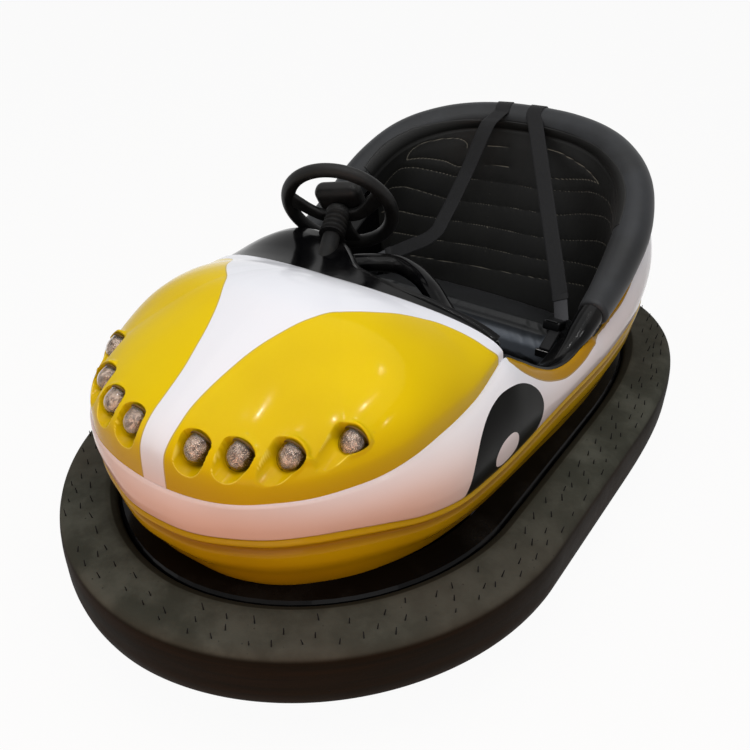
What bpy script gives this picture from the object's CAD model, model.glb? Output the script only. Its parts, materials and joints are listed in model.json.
# %% [markdown]
# # Bumper car
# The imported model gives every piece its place. This script dresses it: painted mouldings,
# a rubber ring, padded vinyl, webbing and moulded plastic.
# Everything is in metres, +Z is up, the front faces -Y and the car's left side is +X.

# %% Load the frame
import json
import math

import bmesh
import bpy
import numpy as np
from mathutils import Matrix, Vector
from mathutils.kdtree import KDTree


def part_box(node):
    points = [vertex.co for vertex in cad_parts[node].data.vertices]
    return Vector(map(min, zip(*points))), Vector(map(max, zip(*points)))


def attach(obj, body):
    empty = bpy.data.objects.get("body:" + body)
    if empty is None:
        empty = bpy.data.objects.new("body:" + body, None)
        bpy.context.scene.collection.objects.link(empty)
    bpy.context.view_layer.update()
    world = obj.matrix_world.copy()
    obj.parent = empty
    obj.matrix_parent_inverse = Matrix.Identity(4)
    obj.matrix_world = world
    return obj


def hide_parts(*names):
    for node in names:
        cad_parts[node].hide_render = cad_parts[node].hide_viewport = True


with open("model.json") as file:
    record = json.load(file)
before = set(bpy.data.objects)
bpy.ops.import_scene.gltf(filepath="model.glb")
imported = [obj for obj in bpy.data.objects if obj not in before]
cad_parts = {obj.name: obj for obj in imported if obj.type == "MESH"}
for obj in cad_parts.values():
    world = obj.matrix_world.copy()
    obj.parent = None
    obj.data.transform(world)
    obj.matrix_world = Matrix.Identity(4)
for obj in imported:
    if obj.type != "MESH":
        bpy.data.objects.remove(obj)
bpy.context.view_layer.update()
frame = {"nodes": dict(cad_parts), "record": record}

# %% [markdown]
# The camera repeats the photograph's viewpoint: a third of a turn round to the car's left and
# looking down by about 32 degrees. It could be nudged by eye. Here its place and lens were
# solved from the ring's outline, the hood's edges and the car's usual length, so that model
# and photograph overlap and a shape can be read off the photograph in metres.

# %% Camera
CAMERA_PLACE = Vector((1.0261, -1.6957, 1.5588))
CAMERA_AROUND = math.radians(32.99)
CAMERA_DOWN = math.radians(31.68)
CAMERA_ROLL = math.radians(0.744)
CAMERA_LENS = 41.83

back = Vector((math.sin(CAMERA_AROUND) * math.cos(CAMERA_DOWN),
               -math.cos(CAMERA_AROUND) * math.cos(CAMERA_DOWN), math.sin(CAMERA_DOWN)))
right = Vector((math.cos(CAMERA_AROUND), math.sin(CAMERA_AROUND), 0))
turned = Matrix.Rotation(CAMERA_ROLL, 3, back)
axes = Matrix((turned @ right, turned @ back.cross(right), back)).transposed()
camera = bpy.data.objects.new("camera", bpy.data.cameras.new("camera"))
camera.data.lens = CAMERA_LENS
camera.matrix_world = Matrix.Translation(CAMERA_PLACE) @ axes.to_4x4()
bpy.context.scene.collection.objects.link(camera)
bpy.context.scene.camera = camera
print("the camera stands", round(CAMERA_PLACE.length, 2), "m from the middle of the floor")

# %% [markdown]
# A paint or a rubber is a sum of small effects: dust, wear, a border. Their nodes could be
# wired by hand in the editor, but shader maths reads better as sums than as boxes and wires.
# A Flow wraps one socket, and the usual operators add Math nodes behind it. A Tree makes every
# node with one method. A Finish is one material, whose fixed numbers go straight on the
# Principled shader's sockets.

# %% Sums of sockets
class Flow:
    """The output socket of a node, usable in sums with numbers and other sockets."""

    def __init__(self, tree, socket):
        self.tree = tree
        self.socket = socket

    def math(self, operation, *others):
        return self.tree.node("Math", {"operation": operation}, dict(enumerate((self, *others))))

    def __add__(self, other):
        return self.math("ADD", other)

    __radd__ = __add__

    def __sub__(self, other):
        return self.math("SUBTRACT", other)

    def __rsub__(self, other):
        return self.tree.node("Math", {"operation": "SUBTRACT"}, {0: other, 1: self})

    def __mul__(self, other):
        return self.math("MULTIPLY", other)

    __rmul__ = __mul__

    def __truediv__(self, other):
        return self.math("DIVIDE", other)

    def __pow__(self, other):
        return self.math("POWER", other)

    def __gt__(self, other):
        return self.math("GREATER_THAN", other)

    def __lt__(self, other):
        return self.math("LESS_THAN", other)

    def smooth(self, low, high):
        """0 below low, 1 above high, and a soft step between."""
        return self.tree.node("MapRange", {"interpolation_type": "SMOOTHSTEP"},
                              {"Value": self, "From Min": low, "From Max": high})


print("operators ready")

# %% Node trees
class Tree:
    """The nodes of a material or a world, and the one method that makes them."""

    def __init__(self, owner):
        owner.use_nodes = True
        self.nodes = owner.node_tree.nodes
        self.links = owner.node_tree.links

    def feed(self, target, value):
        """Link a Flow to an input socket, or set a plain value on it."""
        if isinstance(value, Flow):
            self.links.new(value.socket, target)
        else:
            target.default_value = value

    def node(self, kind, settings=None, sockets=None, output=0):
        made = self.nodes.new("ShaderNode" + kind)
        for name, value in (settings or {}).items():
            setattr(made, name, value)
        for key, value in (sockets or {}).items():
            self.feed(made.inputs[key], value)
        return Flow(self, made.outputs[output])

    def seen_ray(self):
        """1 for rays that show the backdrop: to the camera, in reflections and through glass."""
        total = self.node("LightPath", output="Is Camera Ray")
        for name in ("Is Glossy Ray", "Is Transmission Ray"):
            total = total.math("MAXIMUM", self.node("LightPath", output=name))
        return total


print("node trees ready")

# %% Finishes
class Finish(Tree):
    """One material, with its Principled shader and the patterns that it reads."""

    def __init__(self, name, **fixed):
        self.material = bpy.data.materials.new(name)
        super().__init__(self.material)
        self.shader = self.nodes["Principled BSDF"]
        for socket, value in fixed.items():
            self.set(socket.replace("_", " ").title(), value)

    def set(self, socket, value):
        self.feed(self.shader.inputs[socket.replace("Ior", "IOR")], value)

    def place(self, scale=None):
        """The place on the object, stretched by scale where one is given."""
        spot = self.node("TexCoord", output="Object")
        return self.node("Mapping", None, {"Vector": spot, "Scale": scale}) if scale else spot

    def axis(self, letter):
        return self.node("SeparateXYZ", None, {0: self.place()}, output=letter)

    def noise(self, scale, detail=3.0, roughness=0.55, vector=None):
        return self.node("TexNoise", None, {"Vector": vector or self.place(), "Scale": scale,
                                            "Detail": detail, "Roughness": roughness})

    def cells(self, scale):
        """Distance to the nearest of many scattered spots, scale of them to a metre."""
        return self.node("TexVoronoi", None, {"Vector": self.place((scale,) * 3), "Scale": 1.0})

    def blend(self, factor, one, two):
        """Colour one where factor is 0 and colour two where it is 1."""
        return self.node("Mix", {"data_type": "RGBA"}, {0: factor, 6: one, 7: two}, output=2)

    def attribute(self, name):
        return self.node("Attribute", {"attribute_name": name}, output="Fac")

    def bump(self, height, strength, distance, under=None):
        sockets = {"Height": height, "Strength": strength, "Distance": distance}
        if under:
            sockets["Normal"] = under
        return self.node("Bump", None, sockets)


print("finishes ready")

# %% Colours and simple finishes
def srgb(red, green, blue):
    """A colour written as screen values from 0 to 255, as the shader wants it."""
    parts = [((part / 255 + 0.055) / 1.055) ** 2.4 if part > 10 else part / 255 / 12.92
             for part in (red, green, blue)]
    return (*parts, 1.0)


def mottled(name, noise, dark, light, roughness, gain=0.0, relief=None, **fixed):
    """A finish whose colour, roughness and optional relief all follow one noise."""
    made = Finish(name, **fixed)
    mottle = made.noise(*noise)
    made.set("Base Color", made.blend(mottle, dark, light))
    made.set("Roughness", roughness + mottle * gain)
    if relief:
        made.set("Normal", made.bump(mottle, *relief))
    return made


print("white as the shader wants it:", srgb(255, 255, 255))

# %% [markdown]
# The car stands in a hall with many small lamps. A photograph of that hall could light it, but
# nothing of the photograph may be kept here. A studio does: large soft lamps at a plain level
# give the colours, and a few small bright ones give the crisp glints of a glossy shell.
# The backdrop is white to the camera and to reflections only, through Light Path, so it
# never adds light to the car.

# %% Studio
def area_lamp(name, place, aim, size, watts, color=(1.0, 1.0, 1.0)):
    lamp = bpy.data.objects.new(name, bpy.data.lights.new(name, "AREA"))
    lamp.data.shape = "DISK"
    lamp.data.size = size
    lamp.data.energy = watts
    lamp.data.color = color
    lamp.location = place
    lamp.rotation_euler = (Vector(aim) - Vector(place)).to_track_quat("-Z", "Y").to_euler()
    bpy.context.scene.collection.objects.link(lamp)


area_lamp("lamp_overhead", (0.2, -0.4, 3.9), (0, 0, 0.5), 5.0, 88)
area_lamp("lamp_front_left", (2.8, -2.2, 2.2), (0, -0.2, 0.5), 2.2, 9)
area_lamp("lamp_front_right", (-2.6, -2.6, 2.4), (0, -0.2, 0.5), 2.4, 10)
area_lamp("lamp_low_warm", (0.9, -2.9, 0.34), (0.1, -0.6, 0.42), 1.6, 24, (1.0, 0.56, 0.36))
SPARKS = [(1.15, -0.6, 3.0), (0.55, -1.1, 3.1), (1.5, -1.5, 2.7), (-0.4, -0.9, 3.2), (2.2, -0.5, 2.4),
          (0.2, -1.9, 2.9), (0.9, -0.1, 3.2)]
for index, place in enumerate(SPARKS):
    area_lamp(f"lamp_spark_{index + 1}", place, (0.1, -0.4, 0.6), 0.06, 3.4)

world = bpy.data.worlds.new("studio_world")
bpy.context.scene.world = world
sky = Tree(world)
pale = sky.nodes["Background"]
pale.inputs["Color"].default_value = (0.93, 0.95, 1.0, 1)
pale.inputs["Strength"].default_value = 0.22
backdrop = sky.node("Background", None, {"Color": (0.8, 0.8, 0.8, 1)})
both = sky.node("MixShader", None, {0: sky.seen_ray(), 1: Flow(sky, pale.outputs[0]), 2: backdrop})
sky.feed(sky.nodes["World Output"].inputs["Surface"], both)
bpy.context.scene.view_settings.view_transform = "Standard"
print("studio lamps:", 4 + len(SPARKS))

# %% [markdown]
# The photograph's background is plain white. The floor is one pale sheet that glows to the
# camera, so it fades into the backdrop. A shadow catcher would do it too, but this sheet also
# throws a little light back up under the ring, as a real floor does.

# %% Floor
floor_mesh = bmesh.new()
bmesh.ops.create_grid(floor_mesh, x_segments=1, y_segments=1, size=14)
floor = bpy.data.objects.new("floor", bpy.data.meshes.new("floor"))
floor_mesh.to_mesh(floor.data)
floor_mesh.free()
bpy.context.scene.collection.objects.link(floor)
floor_finish = Finish("floor_white", base_color=(0.62, 0.53, 0.47, 1), roughness=0.9,
                      specular_ior_level=0.0)
GLOW_SHARE = 0.95
glow = floor_finish.node("Emission", None, {"Strength": 1.0})
lit = Flow(floor_finish, floor_finish.shader.outputs[0])
both = floor_finish.node("MixShader", None, {0: floor_finish.seen_ray() * GLOW_SHARE, 1: lit, 2: glow})
floor_finish.feed(floor_finish.nodes["Material Output"].inputs["Surface"], both)
floor.data.materials.append(floor_finish.material)
print("floor laid")

# %% [markdown]
# The body is a moulded shell, known from a few long lines: the foot of the skirt, the belt's
# crease and the top edge. It could be sculpted, or grown from a box with subdivision. Here a
# flat grid made by an operator is moved onto the surface between such lines, which gives even
# faces, smooth reflections and edges exactly on the lines.

# %% Smooth curves
def spline(keys, values, at):
    """A smooth curve through values at rising keys."""
    keys = np.asarray(keys, float)
    values = np.asarray(values, float)
    slopes = np.gradient(values, keys, axis=0)
    place = np.clip(np.searchsorted(keys, at) - 1, 0, len(keys) - 2)
    width = keys[place + 1] - keys[place]
    share = (np.clip(at, keys[0], keys[-1]) - keys[place]) / width
    if values.ndim > 1:
        share = share[:, None]
        width = width[:, None]
    leaves = (2 * share**3 - 3 * share**2 + 1) * values[place]
    leaving_slope = (share**3 - 2 * share**2 + share) * width * slopes[place]
    arrives = (3 * share**2 - 2 * share**3) * values[place + 1]
    arriving_slope = (share**3 - share**2) * width * slopes[place + 1]
    return leaves + leaving_slope + arrives + arriving_slope


def run_along(points):
    """How far along a line of points each of them lies."""
    return np.concatenate(([0], np.cumsum(np.linalg.norm(np.diff(points, axis=0), axis=1))))


def even_keys(points, keys, count):
    """The keys that cut a line of points into equal lengths."""
    run = run_along(points)
    return np.interp(np.linspace(0, run[-1], count), run, keys)


def path_points(points, count):
    """Evenly spaced points on a smooth curve through a few points."""
    points = np.asarray(points, float)
    run = run_along(points)
    return spline(run, points, np.linspace(0, run[-1], count))


def both_halves(half):
    """A line over the whole car from its left half, which ends in the middle of the rear."""
    return np.concatenate((half * (-1, 1, 1), half[-2::-1]))


print("curve helpers ready")

# %% Grids and pieces
def soft_step(value, low, high):
    share = np.clip((value - low) / (high - low), 0, 1)
    return share * share * (3 - 2 * share)


def unit(vectors):
    vectors = np.asarray(vectors, float)
    return vectors / np.maximum(np.linalg.norm(vectors, axis=-1, keepdims=True), 1e-9)


def moved_grid(columns, rows, place):
    """A bmesh grid whose vertices are moved to place(u, v), with u and v from 0 to 1."""
    made = bmesh.new()
    bmesh.ops.create_grid(made, x_segments=columns, y_segments=rows, size=0.5)
    flat = np.array([vert.co[:] for vert in made.verts]) + 0.5
    for vert, point in zip(made.verts, place(flat[:, 0], flat[:, 1])):
        vert.co = point
    return made


def piece(name, shape, finish, body="car", nodes=(), slot=None, smooth=50, merge=0.00002):
    """Turn a bmesh into a finished piece that rides on a body and stands for CAD nodes."""
    if merge:
        bmesh.ops.remove_doubles(shape, verts=shape.verts, dist=merge)
    bmesh.ops.recalc_face_normals(shape, faces=shape.faces)
    made = bpy.data.objects.new(name, bpy.data.meshes.new(name))
    shape.to_mesh(made.data)
    shape.free()
    bpy.context.scene.collection.objects.link(made)
    made.data.materials.append(finish.material)
    made.data.shade_smooth()
    made.data.set_sharp_from_angle(angle=math.radians(smooth))
    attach(made, body)
    if nodes:
        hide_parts(*nodes)
    return made


def wall(made, thickness, offset=-1.0):
    """Give a surface a thickness, inwards unless the offset says otherwise."""
    step = made.modifiers.new("wall", "SOLIDIFY")
    step.thickness = thickness
    step.offset = offset


print("grid helpers ready")

# %% Numbers kept on a mesh
def store(made, name, values):
    """Keep one number for each vertex, for a material to read."""
    made.data.attributes.new(name, "FLOAT", "POINT").data.foreach_set("value", values.astype(np.float32))


def mesh_points(made):
    points = np.zeros(len(made.data.vertices) * 3)
    made.data.vertices.foreach_get("co", points)
    return points.reshape(-1, 3)


def outline_distance(points, outline):
    """Distance from flat points to a closed outline, negative inside it."""
    best = np.full(len(points), 1e9)
    inside = np.zeros(len(points), bool)
    for one, two in zip(outline, np.roll(outline, -1, axis=0)):
        line = two - one
        away = points - one
        along = np.clip(away @ line / (line @ line), 0, 1)
        best = np.minimum(best, np.linalg.norm(away - along[:, None] * line, axis=1))
        crosses = (one[1] > points[:, 1]) != (two[1] > points[:, 1])
        rise = line[1] if abs(line[1]) > 1e-12 else 1e-12
        inside ^= crosses & (points[:, 0] < line[0] * (points[:, 1] - one[1]) / rise + one[0])
    return np.where(inside, -best, best)


def spot_tree(spots):
    """A search tree that finds the nearest of many spots."""
    tree = KDTree(len(spots))
    for index, spot in enumerate(spots):
        tree.insert(spot, index)
    tree.balance()
    return tree


def near_lines(points, lines):
    """Distance of each point from the nearest of several lines of points."""
    tree = spot_tree(np.concatenate(lines))
    return np.array([tree.find(point)[2] for point in points])


def closed_curve(points, count):
    """A closed smooth outline through a few points."""
    points = np.asarray(points, float)
    doubled = np.concatenate((points[-2:], points, points[:3]))
    run = run_along(doubled)
    return spline(run, doubled, np.linspace(run[2], run[-3], count, endpoint=False))


print("mesh measures ready")

# %% [markdown]
# The body's lines are points (x, y, z) of the left half, from the front to the rear, measured
# in the photograph where it shows them. Any of them can be read at an angle round the car.

# %% Body lines
SKIRT_FOOT_HEIGHT = .283
SKIRT_PLAN = [(0, -.782), (.1, -.774), (.194, -.733), (.252, -.681), (.294, -.631), (.33, -.57),
              (.362, -.495), (.391, -.377), (.41, -.223), (.421, -.062), (.429, .065), (.434, .203),
              (.433, .326), (.423, .45), (.395, .58), (.33, .69), (.22, .765), (.11, .795), (0, .803)]
SKIRT_FOOT = [(x, y, SKIRT_FOOT_HEIGHT) for x, y in SKIRT_PLAN]
BELT_CREASE = [(0, -.862, .454), (.077, -.855, .454), (.15, -.83, .457), (.223, -.795, .464),
               (.279, -.755, .472), (.33, -.698, .472), (.371, -.638, .464), (.407, -.567, .448),
               (.436, -.481, .437), (.451, -.36, .430), (.459, -.20, .428), (.465, -.05, .436),
               (.470, .08, .438), (.474, .22, .439), (.472, .36, .445), (.462, .49, .453),
               (.436, .61, .459), (.38, .72, .463), (.29, .80, .465), (.16, .84, .465), (0, .85, .465)]
BODY_TOP = [(0, -.862, .540), (.067, -.857, .540), (.129, -.848, .545), (.184, -.831, .552),
            (.235, -.800, .558), (.287, -.751, .561), (.326, -.694, .564), (.356, -.636, .567),
            (.379, -.570, .575), (.393, -.490, .585), (.401, -.420, .594), (.404, -.345, .606),
            (.401, -.285, .621), (.399, -.232, .634), (.413, -.180, .606), (.430, -.110, .560),
            (.441, -.050, .530), (.450, .020, .516), (.454, .10, .520), (.457, .20, .537),
            (.457, .29, .562), (.455, .37, .596), (.450, .43, .627), (.442, .49, .654),
            (.426, .565, .680), (.398, .625, .705), (.355, .683, .735), (.30, .728, .757),
            (.22, .768, .773), (.11, .795, .782), (0, .803, .785)]
BOLSTER_LINE = [(.437, .185, .570), (.435, .28, .600), (.431, .37, .640), (.424, .447, .687),
                (.410, .50, .721), (.390, .547, .750), (.365, .588, .773), (.335, .625, .791),
                (.30, .660, .804), (.25, .70, .817), (.19, .732, .826), (.10, .760, .832),
                (0, .769, .834)]
BOLSTER_RADIUS = 0.048
print("body lines have", len(SKIRT_FOOT), len(BELT_CREASE), len(BODY_TOP), "points")

# %% Body lines read round the car
def body_line(points, turns):
    """A body line read at plan angles from the front in degrees, negative on the right half."""
    points = np.asarray(points, float)
    theta = np.degrees(np.arctan2(points[:, 0], -points[:, 1]))
    radius = np.hypot(points[:, 0], points[:, 1])
    theta = np.concatenate((-theta[2:0:-1], theta, 360 - theta[-2:-4:-1]))
    radius = np.concatenate((radius[2:0:-1], radius, radius[-2:-4:-1]))
    height = np.concatenate((points[2:0:-1, 2], points[:, 2], points[-2:-4:-1, 2]))
    found = spline(theta, np.stack((radius, height), 1), np.abs(turns))
    angle = np.radians(turns)
    return np.stack((found[:, 0] * np.sin(angle), -found[:, 0] * np.cos(angle), found[:, 1]), 1)


def even_turns(count):
    """Plan angles that cut the crease line into equal lengths."""
    dense = np.linspace(-180, 180, 4001)
    return even_keys(body_line(BELT_CREASE, dense), dense, count)


def into_body(turns):
    """Unit plan directions that point into the body, square to the crease line."""
    step = 0.4
    along = body_line(BELT_CREASE, turns + step) - body_line(BELT_CREASE, turns - step)
    inward = np.stack((-along[:, 1], along[:, 0], np.zeros(len(along))), 1)
    inward *= -np.sign(np.sum(inward * body_line(BELT_CREASE, turns), axis=1))[:, None]
    return unit(inward)


bolster_path = both_halves(path_points(BOLSTER_LINE, 60))
print("the bolster's line is", round(float(run_along(bolster_path)[-1]), 2), "m")

# %% [markdown]
# The rubber ring is one heavy moulding that takes the knocks. Its top face slopes out to a
# rounded shoulder, and short whiskers left by the mould's vents stand on it in loose rows.
# It could be a curve with a bevel, but that pinches where the outline turns. A section turned
# into a closed strip, each point moved inwards by its own distance, stays even all round.

# %% Ring outline
high_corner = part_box("bumper_ring")[1]
RING_HALF_WIDTH = high_corner.x
RING_HALF_LENGTH = high_corner.y
FRONT_POWER = 1.94
REAR_POWER = 2.82
FRONT_START = -0.319
REAR_START = 0.10


def ring_outline(turns, inset):
    """The ring's plan outline moved inward, as two joined superellipses."""
    cosine = np.cos(turns)
    sine = np.sin(turns)
    front = cosine >= 0
    power = np.where(front, FRONT_POWER, REAR_POWER)
    reach = np.where(front, RING_HALF_LENGTH + FRONT_START, RING_HALF_LENGTH - REAR_START) - inset
    start = np.where(front, FRONT_START, REAR_START)
    way = np.where(front, -1.0, 1.0)
    x = (RING_HALF_WIDTH - inset) * np.sign(sine) * np.abs(sine) ** (2 / power)
    y = start + way * reach * np.abs(cosine) ** (2 / power)
    return x, y


def ring_turns(count):
    """Angles that space points evenly along the ring."""
    dense = np.linspace(0, 2 * math.pi, 8001)
    return even_keys(np.stack(ring_outline(dense, 0.05), 1), dense, count + 1)


def ring_strip(section, columns, rows):
    """A closed strip round the ring, from a closed section of (inset, height) points."""
    loop = closed_curve(section, rows)
    loop = np.concatenate((loop, loop[:1]))
    turns = ring_turns(columns)

    def place(u, v):
        turn = turns[np.rint(u * columns).astype(int)]
        inset, height = loop[np.rint(v * rows).astype(int)].T
        x, y = ring_outline(turn, inset)
        return np.stack((x, y, height), 1)

    return moved_grid(columns, rows, place)


print("the ring is", round(2 * RING_HALF_LENGTH, 3), "m long and", round(2 * RING_HALF_WIDTH, 3), "m wide")

# %% Ring rubber
rubber = Finish("ring_rubber", specular_ior_level=0.03)
mottle = rubber.noise(9, 5, 0.6)
grime = rubber.noise(2.3, 3, 0.5)
grain = rubber.noise(420, 2, 0.5)
color = rubber.blend(mottle.smooth(0.35, 0.7), srgb(54, 54, 47), srgb(76, 76, 68))
dusty = rubber.blend(grime.smooth(0.42, 0.72) * 0.55, color, srgb(66, 60, 52))
low_side = 1 - rubber.axis("Z").smooth(0.267, 0.279)
inner_border = rubber.attribute("inset").smooth(0.111, 0.116)
streaks = rubber.noise(1.0, 4, 0.6, rubber.place((2.5, 2.5, 60)))
brown = rubber.blend(streaks.smooth(0.3, 0.7), srgb(14, 7, 1), srgb(25, 13, 3))
scuffed = rubber.blend(inner_border * 0.8, rubber.blend(low_side * 0.94, dusty, brown), srgb(24, 20, 12))
nick_mask = (1 - rubber.cells(60).smooth(0.05, 0.16)) * mottle.smooth(0.5, 0.62)
rubber.set("Base Color", rubber.blend(nick_mask * 0.7, scuffed, srgb(14, 14, 15)))
rubber.set("Roughness", 0.62 + mottle * 0.22 - low_side * 0.12)
rough_skin = rubber.bump(grain, 0.25, 0.0006)
rubber.set("Normal", rubber.bump(mottle - nick_mask * 0.5, 0.35, 0.004, under=rough_skin))
print("ring rubber ready")

# %% Rubber ring
# Section of the ring as (distance in from its outer edge, height), from its underside outwards
RING_SECTION = [(.110, .132), (.060, .130), (.030, .134), (.010, .148), (.002, .172), (.000, .205),
                (.000, .250), (.002, .268), (.007, .280), (.015, .2855), (.050, .2890), (.088, .2925),
                (.110, .2930), (.114, .2900), (.119, .2898), (.126, .2875), (.131, .2800),
                (.1345, .262), (.135, .200), (.135, .150), (.128, .137)]
shape = ring_strip(RING_SECTION, 460, 64)
ring = piece("rubber_ring", shape, rubber, nodes=["bumper_ring"], slot="ring_rubber", smooth=70)
edge_x, edge_y = ring_outline(ring_turns(4000), 0)
outer_edge = np.stack((edge_x, edge_y, 0 * edge_x), 1)
store(ring, "inset", near_lines(mesh_points(ring) * (1, 1, 0), [outer_edge]))
print("ring faces:", len(ring.data.polygons))

# %% Mould whiskers on the ring's top face
whiskers = bmesh.new()
pick = np.random.default_rng(7)
# Distance in from the outer edge, number of whiskers and height of the rubber in each row
WHISKER_ROWS = [(.026, 88, .2865), (.050, 86, .2890), (.076, 84, .2915)]
for inset, count, top in WHISKER_ROWS:
    row_x, row_y = ring_outline(ring_turns(2000), inset)
    wobble = pick.uniform(-1, 1, (count, 4))
    row = path_points(np.stack((row_x, row_y, 0 * row_x), 1), count + 1)[:-1]
    x = row[:, 0] + wobble[:, 0] * 0.008
    y = row[:, 1] + wobble[:, 1] * 0.008
    for index in range(count):
        if pick.uniform() < 0.1:
            continue
        length = 0.0185 + 0.0035 * wobble[index, 2]
        lean = Matrix.Rotation(0.22 * wobble[index, 3], 4, "X")
        lean = lean @ Matrix.Rotation(0.2 * wobble[index, 0], 4, "Y")
        root = Matrix.Translation((x[index], y[index], top - .003))
        place = root @ lean @ Matrix.Translation((0, 0, length / 2))
        bmesh.ops.create_cone(whiskers, cap_ends=True, segments=6, radius1=.0016, radius2=.0010,
                              depth=length, matrix=place)
nib_rubber = mottled("whisker_rubber", (300,), srgb(12, 12, 13), srgb(26, 26, 27), 0.75,
                     specular_ior_level=0.1)
whisker_piece = piece("ring_whiskers", whiskers, nib_rubber, slot="ring_rubber", merge=None)
print("whisker faces:", len(whisker_piece.data.polygons))

# %% [markdown]
# The shell's paint is one gloss in three colours: a pearl yellow, a cool white and a black
# teardrop. The borders could be drawn in an image. Here the mesh keeps each point's distance
# to each outline, so the paint stays sharp at any size, and a hair of shadow marks the edge
# of each masked colour. Low down and in front the white is tinted by the warm hall, and the
# yellow is deeper in the lamps' pockets.

# %% Body paint
def body_finish(name, gold, gold_deep):
    paint = Finish(name, specular_ior_level=0.05, coat_weight=0.03, coat_roughness=0.03)
    pearl = paint.noise(3.2, 2, 0.5)
    fleck = paint.noise(900, 1, 0.5)
    yellow = paint.blend(pearl.smooth(0.3, 0.7), gold, gold_deep)
    yellow = paint.blend(fleck.smooth(0.55, 0.8) * 0.12, yellow, srgb(250, 220, 70))
    height = paint.axis("Z")
    yellow = paint.blend((1 - height.smooth(0.53, 0.68)) * 0.55, yellow, srgb(160, 108, 2))
    white = paint.blend(pearl.smooth(0.35, 0.7), srgb(226, 226, 230), srgb(218, 218, 224))
    warm = (1 - height.smooth(0.48, 0.63)) * (0.22 + (1 - paint.axis("Y").smooth(-0.62, -0.30)) * 0.55)
    white = paint.blend(warm, white, srgb(216, 166, 140))
    gold_line = paint.attribute("gold_line")
    drop_line = paint.attribute("teardrop_line")
    almond_line = paint.attribute("almond_line")
    trim = srgb(150, 140, 105)
    base = paint.blend(gold_line < 0.0, white, yellow)
    edge = (gold_line + 0.0016).math("ABSOLUTE") < 0.0010
    base = paint.blend(edge * 0.6, base, trim)
    pocket = paint.attribute("pocket_shade")
    base = paint.blend(pocket * 0.8, base, srgb(104, 78, 16))
    base = paint.blend(paint.attribute("pocket_rim") * 0.5, base, srgb(255, 236, 110))
    black = paint.blend(pearl.smooth(0.3, 0.7), srgb(12, 12, 11), srgb(20, 20, 18))
    base = paint.blend(drop_line < 0.0, base, black)
    base = paint.blend(almond_line < 0.0, base, white)
    paint.set("Base Color", base)
    smear = paint.noise(14, 4, 0.6)
    paint.set("Roughness", 0.11 + smear.smooth(0.45, 0.8) * 0.08 + (drop_line < 0.0) * 0.20)
    ripple = paint.noise(38, 2, 0.5)
    paint.set("Normal", paint.bump(ripple, 0.05, 0.002))
    return paint


shell_paint = body_finish("shell_paint", srgb(220, 188, 2), srgb(208, 174, 2))
flank_paint = body_finish("flank_paint", srgb(176, 136, 5), srgb(160, 120, 4))
print("body paint ready")

# %% [markdown]
# The hood is one swollen moulding. It could be a subdivided cage, but its edge has to lie on
# the body's top line. So it is a fan of rows from the middle of its rear edge to its outer
# edge, whose section swells like a superellipse under a measured crest. The grid is dense
# enough to sink the eight lamp pockets into it.

# %% Hood surface
HOOD_CREST = [(-.877, .697), (-.80, .709), (-.72, .7235), (-.65, .7435), (-.58, .763), (-.49, .786),
              (-.42, .7845), (-.37, .7755), (-.32, .7615), (-.26, .7430), (-.20, .722)]
HOOD_POWER = [(0, 3.8), (8, 3.5), (16, 3.0), (25, 2.6), (36, 2.3), (45, 2.3), (60, 2.2), (78, 2.05)]
HOOD_POLE_Y = -0.26
HOOD_SWEEP = 0.040
HOOD_CORNER_Y = -0.232

front_turns = np.linspace(40, 130, 1801)
front_line = body_line(BODY_TOP, front_turns)
corner_turn = float(np.interp(HOOD_CORNER_Y, front_line[:, 1], front_turns))
print("the hood's corner is at", round(corner_turn, 1), "degrees round from the front")


def hood_surface(turns, share):
    """Points of the hood at plan angles and shares of the way from the pole to the edge."""
    edge = body_line(BODY_TOP, turns)
    dx = edge[:, 0]
    dy = edge[:, 1] - HOOD_POLE_Y
    angle = np.degrees(np.arctan2(np.abs(dx), -dy))
    power = np.interp(angle, *np.array(HOOD_POWER).T)
    x = dx * share
    y = HOOD_POLE_Y + dy * share
    crest = np.array(HOOD_CREST)
    top = spline(crest[:, 0], crest[:, 1], y)
    rise = np.clip(1 - share**power, 0, 1) ** (1 / power)
    z = edge[:, 2] + (top - edge[:, 2]) * rise
    across = np.minimum(np.abs(x) / .40, 1.0)
    behind = np.maximum(HOOD_POLE_Y + .028 * across - y, 0.0)
    return np.stack((x, y - HOOD_SWEEP * (1 - across**2) * np.exp(-behind / .10), z), 1)


def hood_edge_turns(count):
    dense = np.linspace(-corner_turn, corner_turn, 3001)
    return even_keys(body_line(BODY_TOP, dense), dense, count)


hood_turns = hood_edge_turns(600)


def hood_place(u, v):
    turns = np.interp(u, np.linspace(0, 1, 600), hood_turns)
    return hood_surface(turns, 1 - (1 - v) ** 1.5)


# Plan points of the yellow field on the left half of the hood
FIELD = [(.024, -.920), (.026, -.880), (.028, -.860), (.031, -.838), (.033, -.810), (.033, -.780),
         (.0355, -.750), (.0405, -.715), (.050, -.673), (.062, -.628), (.078, -.585), (.095, -.548),
         (.114, -.515), (.139, -.474), (.169, -.443), (.195, -.413), (.217, -.378), (.241, -.345),
         (.270, -.315), (.306, -.296), (.344, -.281), (.377, -.268), (.398, -.252), (.430, -.252),
         (.470, -.300), (.480, -.420), (.460, -.620), (.380, -.800), (.240, -.920), (.080, -.960)]
print("hood surface ready")

# %% [markdown]
# Each lamp looks forward out of a channel that is closed behind it by an upright wall and runs
# out through the hood's slope below it. A boolean would cut it, but leaves ragged faces on a
# curved sheet. Here the depth is worked out from a vertex's place beside the lamp, so the mesh
# itself is sunk, with faces four times finer round the channels.

# %% Lamp channels
CHANNEL_TILT = math.radians(20)
channel = np.array((0, -math.cos(CHANNEL_TILT), -math.sin(CHANNEL_TILT)))
channel_up = np.array((0, -math.sin(CHANNEL_TILT), math.cos(CHANNEL_TILT)))
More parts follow.
